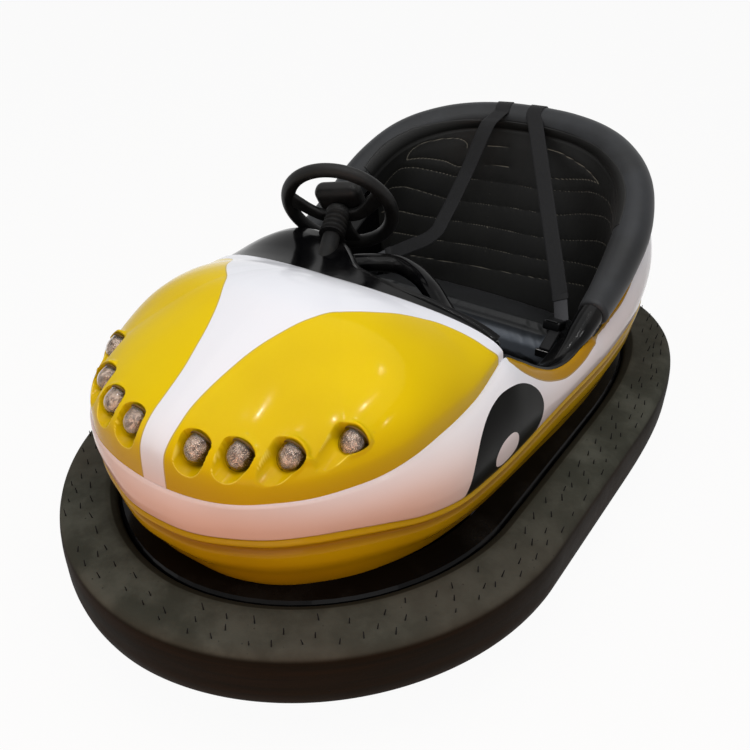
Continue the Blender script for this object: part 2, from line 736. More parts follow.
# Middle and half-width across the car, end wall along the channel, height of its bed, raised brow
CHANNELS = [(.0793, .0317, .5299, .8413, .0010), (.1577, .0320, .5077, .8426, .0025),
            (.2330, .0315, .4620, .8310, .0095), (.3040, .0320, .3760, .8175, .0140)]


def channel_place(points, side, middle, end_wall):
    """Distances of points across and along a channel, and their height on its upright axis."""
    return points[:, 0] * side - middle, points @ channel - end_wall, points @ channel_up


def near_channels(points):
    """Whether points on either half of the hood lie close to a channel."""
    on_left = np.abs(points) * (1, 0, 0) + points * (0, 1, 1)
    found = np.zeros(len(points), bool)
    for middle, radius, end_wall, *_ in CHANNELS:
        across, along, _ = channel_place(on_left, 1, middle, end_wall)
        found |= (np.abs(across) < radius + .016) & (along > -.022) & (along < .088)
    return found


def channel_relief(across, along, height, radius, bed, brow):
    """How far a channel moves points along its upright axis, its shade and its rim's line."""
    round_side = radius - np.sqrt(np.maximum(radius**2 - across**2, 0))
    bottom = bed + round_side - .020 * (1 - soft_step(along, .006, .052))
    from_side = radius - np.abs(across)
    from_end = along - .55 * round_side
    outside = -np.minimum(np.minimum(height - bottom, from_side), from_end)
    around = soft_step(across / radius, -.7, .3) * (1 - soft_step(along, .022, .062))
    raised = brow * np.exp(-(np.maximum(outside - .004, 0) / .0060) ** 2) * around
    depth = np.maximum(height + raised - bottom, 0)
    inside = soft_step(from_side, -.001, .0025) * soft_step(from_end, -.001, .0025)
    within = soft_step(from_side, -.002, .004) * soft_step(from_end, -.002, .003)
    shade = within * soft_step(depth, 0, .004) * (1 - soft_step(along, .010, .044))
    rim_line = 1 - soft_step(np.abs(outside), .0004, .0015)
    rim_line *= soft_step(along, .034, .044) * (1 - soft_step(along, .070, .080))
    return raised - depth * inside, shade, rim_line


def sink_channels(points):
    """The points sunk into all the channels, with their shade and their nearness to a rim."""
    sunk = points.copy()
    shade = np.zeros(len(points))
    rim_line = np.zeros(len(points))
    for middle, radius, end_wall, bed, brow in CHANNELS:
        for side in (1, -1):
            across, along, height = channel_place(points, side, middle, end_wall)
            near = (np.abs(across) < radius + .05) & (along > -.06) & (along < .14)
            move, dark, bright = channel_relief(across[near], along[near], height[near], radius, bed, brow)
            sunk[near] += channel_up * move[:, None]
            shade[near] = np.maximum(shade[near], dark)
            rim_line[near] = np.maximum(rim_line[near], bright)
    return sunk, shade, rim_line


print("lamp channels:", 2 * len(CHANNELS))

# %% Hood shell
HOOD_COLUMNS = 220
HOOD_ROWS = 96


def hood_rim_groove(points, v):
    """The hood's edge is drawn in a little, which leaves a shadow line above the belt."""
    edge = soft_step(v, .93, 1.0)
    plan = unit(points * (1, 1, 0) - (0, HOOD_POLE_Y, 0))
    return points - plan * (edge * .004)[:, None]


def finer_grid(columns, rows, place, close):
    """A moved grid whose faces are four times finer where close(points) says so."""
    made = bmesh.new()
    bmesh.ops.create_grid(made, x_segments=columns, y_segments=rows, size=0.5)
    middles = np.array([face.calc_center_median()[:] for face in made.faces]) + 0.5
    picked = close(place(middles[:, 0], middles[:, 1]))
    edges = [edge for face, wanted in zip(made.faces, picked) if wanted for edge in face.edges]
    bmesh.ops.subdivide_edges(made, edges=list(dict.fromkeys(edges)), cuts=3, use_grid_fill=True)
    flat = np.array([vert.co[:] for vert in made.verts]) + 0.5
    points = hood_rim_groove(place(flat[:, 0], flat[:, 1]), flat[:, 1])
    sunk, shade, rim_line = sink_channels(points)
    shade_layer = made.verts.layers.float.new("pocket_shade")
    rim_layer = made.verts.layers.float.new("pocket_rim")
    for vert, point, dark, bright in zip(made.verts, sunk, shade, rim_line):
        vert.co = point
        vert[shade_layer] = dark
        vert[rim_layer] = bright
    return made


shape = finer_grid(HOOD_COLUMNS, HOOD_ROWS, hood_place, near_channels)
bmesh.ops.remove_doubles(shape, verts=shape.verts, dist=.00002)
rim = bmesh.ops.extrude_edge_only(shape, edges=[edge for edge in shape.edges if edge.is_boundary])
rim_verts = [item for item in rim["geom"] if isinstance(item, bmesh.types.BMVert)]
bmesh.ops.translate(shape, vec=(0, 0, -.005), verts=rim_verts)
hood = piece("hood_shell", shape, shell_paint, nodes=["hood_panel"], slot="white_gloss", smooth=60)
points = mesh_points(hood)
field = closed_curve(FIELD, 240)
mirrored = np.stack((np.abs(points[:, 0]), points[:, 1]), 1)
store(hood, "gold_line", outline_distance(mirrored, field))
store(hood, "teardrop_line", np.ones(len(points)))
store(hood, "almond_line", np.ones(len(points)))
print("hood faces:", len(hood.data.polygons))

# %% [markdown]
# The flank is the white belt, the side and the rear of the shell in one band. It starts at
# the crease, stands up and rolls in to its top edge. Separate panels would need matching
# edges, so it is a single strip, and the yellow stripe, the black teardrop and the small
# almond in it are outlines on the side of the car.

# %% Flank band
FLANK_COLUMNS = 520
FLANK_ROWS = 40
flank_turns = even_turns(FLANK_COLUMNS + 1)
flank_low = body_line(BELT_CREASE, flank_turns)
flank_high = body_line(BODY_TOP, flank_turns)
flank_in = into_body(flank_turns)

# The top edge is lowered wherever it would touch the rolled bolster
middle_gap = []
for index in range(len(flank_high)):
    while True:
        nearest = np.linalg.norm(bolster_path - flank_high[index] - flank_in[index] * .008, axis=1).min()
        if nearest > BOLSTER_RADIUS + .004 or flank_high[index, 2] < .5:
            break
        flank_high[index, 2] -= .002
    middle_gap.append(nearest)
print("the top edge clears the bolster's middle by", round(min(middle_gap), 3), "m")


def flank_place(u, v):
    """Points of the flank, from the belt's crease, v = 0, to the top edge, v = 1."""
    column = np.rint(u * FLANK_COLUMNS).astype(int)
    low = flank_low[column]
    high = flank_high[column]
    inward = flank_in[column]
    rise = high[:, 2] - low[:, 2]
    lateral = (v ** 2.4)[:, None]
    points = low * (1 - lateral) + high * lateral
    points[:, 2] = low[:, 2] + rise * v
    bulge = .009 * np.sin(math.pi * v) * np.minimum(rise / .1, 1.4)
    lip = .0015 * (1 - soft_step(v, 0, .05)) + .003 * soft_step(v, .92, 1.0)
    return points - inward * (bulge - lip)[:, None]


shape = moved_grid(FLANK_COLUMNS, FLANK_ROWS, flank_place)
flank = piece("flank_shell", shape, flank_paint, nodes=["side_shell"], slot="white_gloss", smooth=75)
points = mesh_points(flank)
side = np.stack((points[:, 1], points[:, 2]), 1)

print("flank faces:", len(flank.data.polygons))

# %% Borders of the flank's colours
# Lower border of the yellow stripe under the cockpit's edge, as (y, z)
STRIPE_LOW = [(-.245, .646), (-.228, .631), (-.204, .602), (-.167, .570), (-.119, .538), (-.068, .514),
              (-.014, .497), (.030, .493), (.092, .497), (.145, .508), (.213, .520), (.261, .532),
              (.330, .550), (.390, .577), (.456, .614), (.510, .642), (.570, .668), (.640, .694),
              (.720, .717), (.900, .736)]
stripe_y, stripe_z = np.array(STRIPE_LOW).T
border = spline(stripe_y, stripe_z, side[:, 0])
slope = np.gradient(stripe_z, stripe_y)
lean = np.sqrt(1 + np.interp(side[:, 0], stripe_y, slope) ** 2)
stripe = (border - side[:, 1]) / lean
stripe = np.maximum(stripe, -.222 - side[:, 0])
store(flank, "gold_line", stripe)

TEARDROP = [(-.457, .435), (-.453, .467), (-.441, .506), (-.415, .538), (-.386, .559), (-.356, .574),
            (-.318, .586), (-.278, .591), (-.243, .588), (-.210, .577), (-.179, .558), (-.157, .534),
            (-.149, .508), (-.151, .482), (-.157, .450), (-.172, .418), (-.230, .395), (-.300, .390),
            (-.370, .392), (-.430, .402)]
ALMOND = [(-.350, .452), (-.358, .480), (-.342, .499), (-.314, .507), (-.289, .505), (-.272, .493),
          (-.263, .472), (-.264, .452), (-.282, .441), (-.308, .438), (-.333, .441)]
drop = closed_curve(TEARDROP, 160)
store(flank, "teardrop_line", outline_distance(side, drop))
store(flank, "almond_line", outline_distance(side, closed_curve(ALMOND, 100)))
wall(flank, .004)
print("points inside the teardrop's outline:", int((outline_distance(side, drop) < 0).sum()))

# %% [markdown]
# Below the belt the skirt starts as a rolled bead, drops into a shadowed groove and swells
# again before it tucks in to the chassis. Three soft bumps added to a strip make that section,
# which keeps the bead's height even where the body turns. The paint is the same yellow, seen
# mostly in shade.

# %% Skirt
SKIRT_ROWS = 44
skirt_low = body_line(SKIRT_FOOT, flank_turns)


def skirt_place(u, v):
    """Points of the skirt, from its foot, v = 0, to the belt's crease, v = 1."""
    column = np.rint(u * FLANK_COLUMNS).astype(int)
    low = skirt_low[column]
    high = flank_low[column] + flank_in[column] * .003 - (0, 0, .0005)
    lateral = np.interp(v, (0, .30, .55, .75, .90, 1), (0, .34, .66, .88, .97, 1))[:, None]
    points = low * (1 - lateral) + high * lateral
    points[:, 2] = low[:, 2] + (high[:, 2] - low[:, 2]) * v
    bead = .006 * np.exp(-((v - .935) / .040) ** 2)
    groove = -.009 * np.exp(-((v - .800) / .055) ** 2)
    swell = .008 * np.exp(-((v - .52) / .20) ** 2)
    return points - flank_in[column] * (bead + groove + swell)[:, None]


skirt_paint = Finish("skirt_paint", specular_ior_level=0.08, coat_weight=0.03, coat_roughness=0.04)
pearl = skirt_paint.noise(3.2, 2, 0.5)
share_up = skirt_paint.attribute("share_up")
golden = skirt_paint.blend(pearl.smooth(0.3, 0.7), srgb(186, 148, 4), srgb(170, 132, 4))
in_groove = 1 - (share_up - 0.80).math("ABSOLUTE").smooth(0.0, 0.13)
shaded = skirt_paint.blend(in_groove * 0.65, golden, srgb(128, 78, 12))
near_foot = 1 - share_up.smooth(0.0, 0.35)
skirt_paint.set("Base Color", skirt_paint.blend(near_foot * 0.3, shaded, srgb(170, 120, 8)))
skirt_paint.set("Roughness", 0.16 + pearl * 0.08)
skirt_paint.set("Normal", skirt_paint.bump(skirt_paint.noise(38, 2, 0.5), 0.05, 0.002))
shape = moved_grid(FLANK_COLUMNS, SKIRT_ROWS, skirt_place)
skirt = piece("skirt_shell", shape, skirt_paint, nodes=["lower_skirt"], slot="mustard_gloss", smooth=75)
points = mesh_points(skirt)
around = np.degrees(np.arctan2(points[:, 0], -points[:, 1]))
high_z = np.interp(around, flank_turns, flank_low[:, 2])
store(skirt, "share_up", (points[:, 2] - SKIRT_FOOT_HEIGHT) / (high_z - SKIRT_FOOT_HEIGHT))
wall(skirt, .004)
print("skirt faces:", len(skirt.data.polygons))

# %% [markdown]
# Black gloss is the second paint of the car: the dash, the grab rail, the cockpit's edge and
# the chassis. A plain dark colour would look like a hole, so it is almost mirror smooth, with
# faint orange peel and with dust where hands and shoes don't reach.

# %% Black gloss
def gloss_black(name, dust=0.25):
    paint = Finish(name, specular_ior_level=0.10, coat_weight=0.02, coat_roughness=0.03)
    cloud = paint.noise(7, 4, 0.6)
    speck = paint.noise(260, 2, 0.5)
    settled = cloud.smooth(0.45, 0.75) * dust + speck.smooth(0.62, 0.75) * 0.08
    paint.set("Base Color", paint.blend(settled, srgb(5, 5, 6), srgb(44, 42, 40)))
    paint.set("Roughness", 0.13 + settled * 0.5)
    paint.set("Normal", paint.bump(paint.noise(60, 2, 0.5), 0.06, 0.001))
    return paint


black_paint = gloss_black("black_gloss_paint")
print("black gloss ready")

# %% [markdown]
# The dash is one moulding behind the hood's rear edge. It is deep before the driver, where
# the column comes through, and narrow before the passenger. A box with rounded edges would
# miss that. A grid between the hood's own edge and a drawn edge follows both, rolls over and
# drops into the cockpit.

# %% Dash
DASH_EDGE = [(-.45, -.080), (-.14, -.083), (-.105, -.092), (-.080, -.106), (-.045, -.1375),
             (-.012, -.170), (.012, -.187), (.040, -.195), (.45, -.196)]
DASH_KEYS = np.array((0, .06, .22, .42, .58, .68, .76, .84, .92, 1.0))
DASH_DROP = (.0, .0004, .0008, .0012, .0028, .0075, .0160, .034, .070, .105)
shares = np.linspace(0, 1, 400)
rear_left = hood_surface(np.full(400, corner_turn), shares)
rear_right = hood_surface(np.full(400, -corner_turn), shares)
rear_edge = np.concatenate((rear_right[::-1], rear_left[1:]))
rear_edge = rear_edge[np.argsort(rear_edge[:, 0])]


def hood_rear(x):
    """Place (y, z) of the hood's rear edge at a distance across the car."""
    return [np.interp(x, rear_edge[:, 0], rear_edge[:, axis]) for axis in (1, 2)]


def row_at(table, keys, v):
    """Each row of a table read at its own v, in straight steps between rising keys."""
    column = np.clip(np.searchsorted(keys, v) - 1, 0, len(keys) - 2)
    share = (v - keys[column]) / (keys[column + 1] - keys[column])
    rows = np.arange(len(table))
    return table[rows, column] * (1 - share) + table[rows, column + 1] * share


def dash_place(u, v):
    """Points of the dash from under the hood, v = 0, over the rolled edge and down, v = 1."""
    x = -.372 + .744 * u
    back_y, back_z = hood_rear(x)
    edge_x, edge_y = np.array(DASH_EDGE).T
    end = spline(edge_x, edge_y, x)
    start = back_y + .006
    ahead = np.stack((back_y - .012, start, start + (end - start) * .35, start + (end - start) * .7,
                      end - .026, end - .012, end - .003, end, end - .001, end - .006), 1)
    y = row_at(ahead, DASH_KEYS, v)
    z = back_z - .0052 - np.interp(v, DASH_KEYS, DASH_DROP)
    z += .024 * np.exp(-((x + .235) / .115) ** 2) * soft_step(v, .10, .45) * (1 - soft_step(v, .70, .86))
    return np.stack((x, y, z), 1)


shape = moved_grid(150, 60, dash_place)
bmesh.ops.smooth_vert(shape, verts=shape.verts, factor=0.5, use_axis_x=False, use_axis_y=True,
                      use_axis_z=True)
dash = piece("dash_moulding", shape, black_paint, nodes=["dash_panel"], slot="black_gloss", smooth=80)
wall(dash, .006)
print("dash faces:", len(dash.data.polygons))

# %% Bars, turned shapes and blocks
def bar(path, radii, sides):
    """A closed round bar along a path; radii is one number or one for each point."""
    path = np.asarray(path, float)
    radii = np.broadcast_to(np.asarray(radii, float), (len(path),))
    along = unit(np.gradient(path, axis=0))
    side = unit(np.cross(along, (0, 0, 1.0)))
    up = np.cross(side, along)

    def place(u, v):
        row = np.rint(u * (len(path) - 1)).astype(int)
        turn = 2 * math.pi * v
        across = side[row] * np.cos(turn)[:, None] + up[row] * np.sin(turn)[:, None]
        return path[row] + across * radii[row][:, None]

    made = moved_grid(len(path) - 1, sides, place)
    bmesh.ops.remove_doubles(made, verts=made.verts, dist=.00002)
    bmesh.ops.holes_fill(made, edges=made.edges)
    return made


def spun(profile, steps=96, place=Matrix.Identity(4)):
    """Turn a profile of (radius, height) points once round Z, then put it in its place."""
    made = bmesh.new()
    verts = [made.verts.new((radius, 0, height)) for radius, height in profile]
    edges = [made.edges.new(pair) for pair in zip(verts, verts[1:])]
    bmesh.ops.spin(made, geom=verts + edges, cent=(0, 0, 0), axis=(0, 0, 1), angle=2 * math.pi, steps=steps,
                   use_merge=True)
    bmesh.ops.remove_doubles(made, verts=made.verts, dist=.00002)
    bmesh.ops.transform(made, matrix=place, verts=made.verts)
    return made


def block_piece(name, size, bevel, place, finish, segments=3, **riding):
    """A bevelled block of a given size, put in its place."""
    made = bmesh.new()
    bmesh.ops.create_cube(made, size=1.0, matrix=Matrix.Diagonal((*size, 1)))
    bmesh.ops.bevel(made, geom=made.edges, offset=bevel, segments=segments, affect="EDGES", profile=0.5,
                    material=-1)
    bmesh.ops.transform(made, matrix=place, verts=made.verts)
    return piece(name, made, finish, **riding)


print("bars, turned shapes and blocks ready")

# %% [markdown]
# The grab rail is one thick bar that bows up behind the dash, for the passenger's hands. A
# bevelled curve would do, but the same helper also makes the bolster, whose thickness varies
# along its path. The rail runs from the column to the left end of the hood's rear edge.

# %% Grab rail
rail_z = float(hood_rear(.24)[1]) - .0470
RAIL_LINE = [(-.120, -.200, .700), (-.066, -.140, .696), (-.022, -.090, .692), (.026, -.064, .690),
             (.086, -.082, .690), (.154, -.128, .688), (.234, -.190, rail_z), (.320, -.256, rail_z)]
rail = piece("grab_rail", bar(path_points(RAIL_LINE, 90), .0222, 32), black_paint, nodes=["grab_hoop"],
             slot="black_gloss", smooth=60)
print("grab rail faces:", len(rail.data.polygons))

# %% [markdown]
# The cockpit's edge is a rolled lip that covers the top of the flank and turns down into the
# inner wall. It is read off the flank's own top line instead of a curve of its own, so the
# yellow stripe meets it all along.

# %% Cockpit edge
upper = flank_high[(flank_high[:, 0] > .3) & (flank_high[:, 1] > -.30) & (flank_high[:, 1] < .70)]
upper = upper[np.argsort(upper[:, 1])]


def trim_place(u, v):
    """Points of the left edge from the flank's top, v = 0, over the lip to the inner wall's foot."""
    y = -.232 + .822 * u
    x = np.interp(y, upper[:, 1], upper[:, 0]) - .0052
    height = np.interp(y, upper[:, 1], upper[:, 2])
    inner = np.full(len(y), .372)
    shelf = np.maximum(x - .042, inner + .010)
    lip_x = np.stack((x, x + .0012, x - .002, x - .010, x - .022, shelf, inner + .002, inner - .002,
                      inner - .004, inner - .010), 1)
    lip_z = np.stack((height - .014, height - .001, height + .0055, height + .0075, height + .0035,
                      height - .010, height - .030, height - .060, 0 * y + .40, 0 * y + .17), 1)
    steps = np.linspace(0, 1, lip_x.shape[1])
    return np.stack((row_at(lip_x, steps, v), y, row_at(lip_z, steps, v)), 1)


for side, label in ((1, "left"), (-1, "right")):
    shape = moved_grid(150, 54, trim_place)
    bmesh.ops.smooth_vert(shape, verts=shape.verts, factor=0.5, use_axis_x=True, use_axis_z=True)
    if side < 0:
        bmesh.ops.scale(shape, vec=(-1, 1, 1), verts=shape.verts)
    trim = piece(f"cockpit_edge_{label}", shape, black_paint, nodes=[f"side_trim_{label}"],
                 slot="black_gloss", smooth=70)
    wall(trim, .004)
print("cockpit edges made")

# %% Sockets under the ends of the bolster
for side, label in ((1, "left"), (-1, "right")):
    line = path_points([(.437 * side, .215, .584), (.434 * side, .178, .566), (.430 * side, .140, .543),
                        (.426 * side, .10, .522), (.420 * side, .05, .506), (.414 * side, .0, .500)], 44)
    radii = np.interp(np.linspace(0, 1, 44), (0, .22, .40, .62, 1), (.030, .031, .029, .021, .006))
    piece(f"bolster_socket_{label}", bar(line, radii, 28), black_paint, slot="black_gloss", smooth=60)
print("bolster sockets made")

# %% [markdown]
# The steering wheel is soft moulded plastic: a fat rim, and two arms that dip to a flat bar
# across the hub. It could be modelled lying flat and tilted at the end. Here each point goes
# through the joint's own axes, so the wheel turns truly about its column. Seen from the
# photograph's side the bar hides the third, lower arm.

# %% Wheel plastic
wheel_plastic = Finish("wheel_plastic", specular_ior_level=0.18)
skin = wheel_plastic.noise(520, 2, 0.5)
wear = wheel_plastic.noise(11, 4, 0.6)
worn = wheel_plastic.blend(wear.smooth(0.35, 0.75), srgb(13, 13, 13), srgb(26, 25, 24))
wheel_plastic.set("Base Color", worn)
wheel_plastic.set("Roughness", 0.42 + wear.smooth(0.4, 0.7) * 0.16)
wheel_plastic.set("Normal", wheel_plastic.bump(skin, 0.16, 0.0005))
print("wheel plastic ready")

# %% The wheel's own axes
joints = {joint["name"]: joint for joint in frame["record"]["behaviour"]["joints"]}
wheel_centre = Vector(joints["steering_turn"]["pos_m"])
wheel_axis = Vector(joints["steering_turn"]["axis"]).normalized()
wheel_across = (Vector((1, 0, 0)) - wheel_axis * wheel_axis.x).normalized()
wheel_up = -wheel_axis.cross(wheel_across)
wheel_frame = Matrix.Translation(wheel_centre) @ Matrix(
    (wheel_across, wheel_up, wheel_axis)).transposed().to_4x4()
RIM_RADIUS = 0.1285
RIM_TUBE = 0.0172
print("the wheel stands at", [round(part, 3) for part in wheel_centre])

# %% Rim
angles = np.linspace(0, 2 * math.pi, 29)
rim_profile = [(RIM_RADIUS + RIM_TUBE * math.cos(angle), RIM_TUBE * .92 * math.sin(angle))
               for angle in angles]
piece("wheel_rim", spun(rim_profile, 144, wheel_frame), wheel_plastic, body="steering_wheel",
      nodes=["steering_rim"], slot="black_plastic", smooth=60)
print("rim radius:", RIM_RADIUS)

# %% Arms
def flat_arm(path, half_widths, half_thick, dish):
    """A flattened bar in the wheel's own plane, from points (across, up)."""
    path = np.asarray(path, float)
    along = unit(np.gradient(path, axis=0))
    side = np.stack((-along[:, 1], along[:, 0]), 1)

    def place(u, v):
        row = np.rint(u * (len(path) - 1)).astype(int)
        turn = 2 * math.pi * v
        cosine = np.cos(turn)
        sine = np.sin(turn)
        wide = np.sign(cosine) * np.abs(cosine) ** .62 * half_widths[row]
        deep = np.sign(sine) * np.abs(sine) ** .62 * half_thick[row] - dish[row]
        spot = path[row] + side[row] * wide[:, None]
        return np.stack((spot[:, 0], spot[:, 1], deep), 1)

    made = moved_grid(len(path) - 1, 36, place)
    bmesh.ops.remove_doubles(made, verts=made.verts, dist=.00002)
    bmesh.ops.holes_fill(made, edges=made.edges)
    bmesh.ops.transform(made, matrix=wheel_frame, verts=made.verts)
    return made


ARM_HALF = [(.1200, .043), (.108, .033), (.094, .022), (.072, .004), (.048, -.009), (.020, -.0125)]
ARM_LINE = [(-across, up) for across, up in ARM_HALF] + [(0, -.0125)] + ARM_HALF[::-1]
arm = path_points(ARM_LINE, 110)
reach = np.abs(arm[:, 0])
widths = np.interp(reach, (0, .035, .06, .085, .105, .120),
                   (.0180, .0180, .0165, .0175, .0210, .0240))
thick = np.interp(reach, (0, .04, .09, .1285), (.0105, .0095, .0080, .0085))
dish = np.interp(reach, (0, .045, .11, .1285), (.014, .013, .003, 0))
piece("wheel_bridge", flat_arm(arm, widths, thick, dish), wheel_plastic, body="steering_wheel",
      nodes=["wheel_spoke_left", "wheel_spoke_right"], slot="black_plastic", smooth=60)
lower = path_points([(0, -.015), (0, -.05), (0, -.09), (0, -.1285)], 50)
reach = -lower[:, 1]
widths = np.interp(reach, (.015, .06, .1, .1285), (.022, .015, .018, .030))
thick = np.interp(reach, (.015, .1285), (.0095, .008))
dish = np.interp(reach, (.015, .05, .11, .1285), (.014, .012, .003, 0))
piece("wheel_lower_arm", flat_arm(lower, widths, thick, dish), wheel_plastic, body="steering_wheel",
      nodes=["wheel_spoke_lower"], slot="black_plastic", smooth=60)
print("arms reach", round(float(np.abs(arm[:, 0]).max()), 3), "m from the hub")

# %% Hub and cap
HUB_PROFILE = [(.0001, -.004), (.018, -.0045), (.026, -.008), (.029, -.013), (.0295, -.020), (.027, -.026),
               (.022, -.030), (.0001, -.031)]
hub_line = path_points(HUB_PROFILE, 40)
piece("wheel_hub", spun(hub_line, 72, wheel_frame), wheel_plastic, body="steering_wheel",
      nodes=["steering_hub"], slot="black_plastic", smooth=60)
block_piece("wheel_cap", (.116, .080, .048), .022, wheel_frame @ Matrix.Translation((0, .014, .022)),
            wheel_plastic, segments=7, body="steering_wheel", slot="black_plastic", smooth=60)
print("hub and cap made")

# %% [markdown]
# Below the wheel a rubber bellows closes the column, and a smooth cowl carries it down to the
# dash. Both are turned from a profile, as on a lathe, with the bellows' folds as a wave on its
# radius. They stand still while the column turns inside them.

# %% Column boot
boot_rubber = Finish("boot_rubber", specular_ior_level=0.15)
dust = boot_rubber.noise(24, 4, 0.6)
dusted = boot_rubber.blend(dust.smooth(0.4, 0.75), srgb(14, 14, 14), srgb(34, 32, 30))
boot_rubber.set("Base Color", dusted)
boot_rubber.set("Roughness", 0.5 + dust * 0.2)
boot_rubber.set("Normal", boot_rubber.bump(boot_rubber.noise(400), 0.15, 0.0005))
FOLDS = 4
fold_run = np.linspace(0, 1, 80)
fold_height = -.030 - .056 * fold_run
fold_radius = .0245 + .0040 * fold_run + .0032 * np.cos(2 * math.pi * FOLDS * fold_run)
boot_profile = [(.012, -.029), *zip(fold_radius, fold_height), (.012, -.088)]
piece("column_bellows", spun(boot_profile, 72, wheel_frame), boot_rubber, nodes=["column_boot"],
      slot="black_plastic", smooth=70)
print("bellows folds:", FOLDS)

# %% Cowl under the bellows
COWL_PROFILE = [(.016, -.084), (.0195, -.087), (.0205, -.095), (.0205, -.125), (.0205, -.160),
                (.0205, -.195)]
piece("column_cowl", spun(path_points(COWL_PROFILE, 40), 72, wheel_frame), boot_rubber,
      slot="black_gloss", smooth=80)
print("cowl ready")

# %% [markdown]
# The seat is black vinyl over foam: a fat rolled bolster all round, a back pad with sewn
# channels, and a loose cushion. An image could carry the grain, but a fine cell pattern gives
# it at any distance. Each seam is a line whose distance is kept on the mesh, so that thread,
# shade and the puckered valley all follow it.

# %% Seat vinyl
def vinyl_finish(name, dark, light, thread=None, front=None):
    """Grained vinyl with sewn lines, a thread colour and a colour for the cushion's front."""
    vinyl = Finish(name, sheen_weight=0.03, sheen_roughness=0.5, specular_ior_level=0.22)
    body = vinyl.noise(5, 4, 0.6)
    pebble = vinyl.cells(520)
    seam = vinyl.attribute("seam_line")
    sewn = 1 - seam.smooth(0.0006, 0.0034)
    color = vinyl.blend(body.smooth(0.3, 0.75), dark, light)
    if front:
        color = vinyl.blend(1 - vinyl.axis("Y").smooth(0.275, 0.292), color, front)
    color = vinyl.blend(sewn * 0.75, color, srgb(7, 7, 7))
    if thread:
        color = vinyl.blend(1 - seam.smooth(0.0009, 0.0023), color, thread)
    vinyl.set("Base Color", color)
    vinyl.set("Roughness", 0.40 + body * 0.14 + sewn * 0.2)
    valley = (1 - (seam / 0.0042).math("MINIMUM", 1.0)) ** 2.0
    grain = vinyl.bump(pebble, 0.10, 0.0004)
    vinyl.set("Normal", vinyl.bump(1 - valley, 0.5, 0.0020, under=grain))
    return vinyl


seat_vinyl = vinyl_finish("seat_vinyl_pad", srgb(8, 8, 7), srgb(15, 15, 13), thread=srgb(98, 94, 84))
cushion_vinyl = vinyl_finish("seat_vinyl_cushion", srgb(12, 13, 14), srgb(20, 21, 23),
                             front=srgb(88, 93, 100))
roll_vinyl = vinyl_finish("seat_vinyl_roll", srgb(24, 25, 26), srgb(40, 42, 45))
print("vinyl ready for the pad, the cushion and the roll")

# %% Rolled bolster
roll_line = both_halves(path_points(BOLSTER_LINE, 150))
roll_along = unit(np.gradient(roll_line, axis=0))
roll_side = unit(np.cross(roll_along, (0, 0, 1.0)))
roll_up = np.cross(roll_side, roll_along)
# Turn of the seam round the roll, from its inner side upwards, by share of the roll's length
SEAM_TURN = [(0, 26), (.10, 28), (.16, 33), (.22, 37), (.265, 30), (.32, 20), (.40, 9.5), (.50, 8)]
seam_keys, seam_angles = np.array(SEAM_TURN + [(1 - share, turn) for share, turn in SEAM_TURN[-2::-1]]).T
roll_share = np.linspace(0, 1, len(roll_line))
seam_turn = np.radians(spline(seam_keys, seam_angles, roll_share))
from_end = np.minimum(roll_share, 1 - roll_share) * 2.62
roll_radius = BOLSTER_RADIUS * np.interp(from_end, (0, .002, .006, .012, .10, .22, .36),
                                         (.66, .75, .79, .80, .85, .94, 1.0))
roll_radius = roll_radius * (1 + .006 * np.sin(from_end * 31) * np.exp(-((from_end - .55) / .25) ** 2))
seam_points = (roll_line + roll_side * (roll_radius * np.cos(seam_turn))[:, None]
               + roll_up * (roll_radius * np.sin(seam_turn))[:, None])
bolster = piece("rolled_bolster", bar(roll_line, roll_radius, 44), roll_vinyl, nodes=["seat_bolster"],
                slot="seat_vinyl", smooth=60)
fine_seam = path_points(seam_points, 1600)
store(bolster, "seam_line", near_lines(mesh_points(bolster), [fine_seam]))
print("bolster faces:", len(bolster.data.polygons))

# %% [markdown]
# The back pad curves round behind two riders, and its upper edge wraps up to the bolster's
# seam. A cloth simulation would sag it somewhere new each time. Here a surface hangs between
# the bolster's line and the seat's rear, and the sewn lines are drawn on it in shares of its
# width and height, with the foam puffed up between them.

# %% Back pad surface
crown = both_halves(path_points(BOLSTER_LINE[3:], 80))
crown_along = unit(np.gradient(crown, axis=0))
crown_in = unit(np.stack((-crown[:, 0], -(crown[:, 1] - .10), 0 * crown[:, 0]), 1))
crown_across = unit(crown_in - crown_along * np.sum(crown_in * crown_along, axis=1)[:, None])
crown_down = np.array((0, 0, -1.0)) + crown_along * crown_along[:, 2:3]
crown_down = unit(crown_down - crown_across * np.sum(crown_down * crown_across, axis=1)[:, None])
pad_start = crown + crown_across * .0474 + crown_down * .022
pad_foot = np.stack((np.sign(crown[:, 0]) * np.minimum(np.abs(crown[:, 0]) * .84, .340),
                     .490 + .065 * (1 - (crown[:, 0] / .424) ** 2), np.full(len(crown), .3004)), 1)
crown_share = np.interp(crown[:, 0], roll_line[:, 0], roll_share)
collar_turn = np.interp(crown_share, roll_share, seam_turn)


def along_crown(values, u):
    """Values given for the crown's points, read at shares of the way along it."""
    place = u * (len(crown) - 1)
    low = np.clip(np.floor(place).astype(int), 0, len(crown) - 2)
    share = (place - low)[:, None]
    return values[low] * (1 - share) + values[low + 1] * share


def pad_surface(u, v):
    """Points of the back pad's face; v below 0 is the collar that wraps up to the bolster's seam."""
    start = along_crown(pad_start, u)
    foot = along_crown(pad_foot, u)
    inward = along_crown(crown_in, u)
    down = np.clip(v, 0, 1)[:, None]
    face = start + (foot - start) * down - inward * np.sin(math.pi * down) * .012
    wrap = np.clip(-v / .08, 0, 1)[:, None]
    turn = math.radians(-25) * (1 - wrap) + along_crown(collar_turn[:, None], u) * wrap
    ring = along_crown(crown, u) + .0486 * (along_crown(crown_across, u) * np.cos(turn)
                                            - along_crown(crown_down, u) * np.sin(turn))
    return np.where(v[:, None] < 0, ring, face)


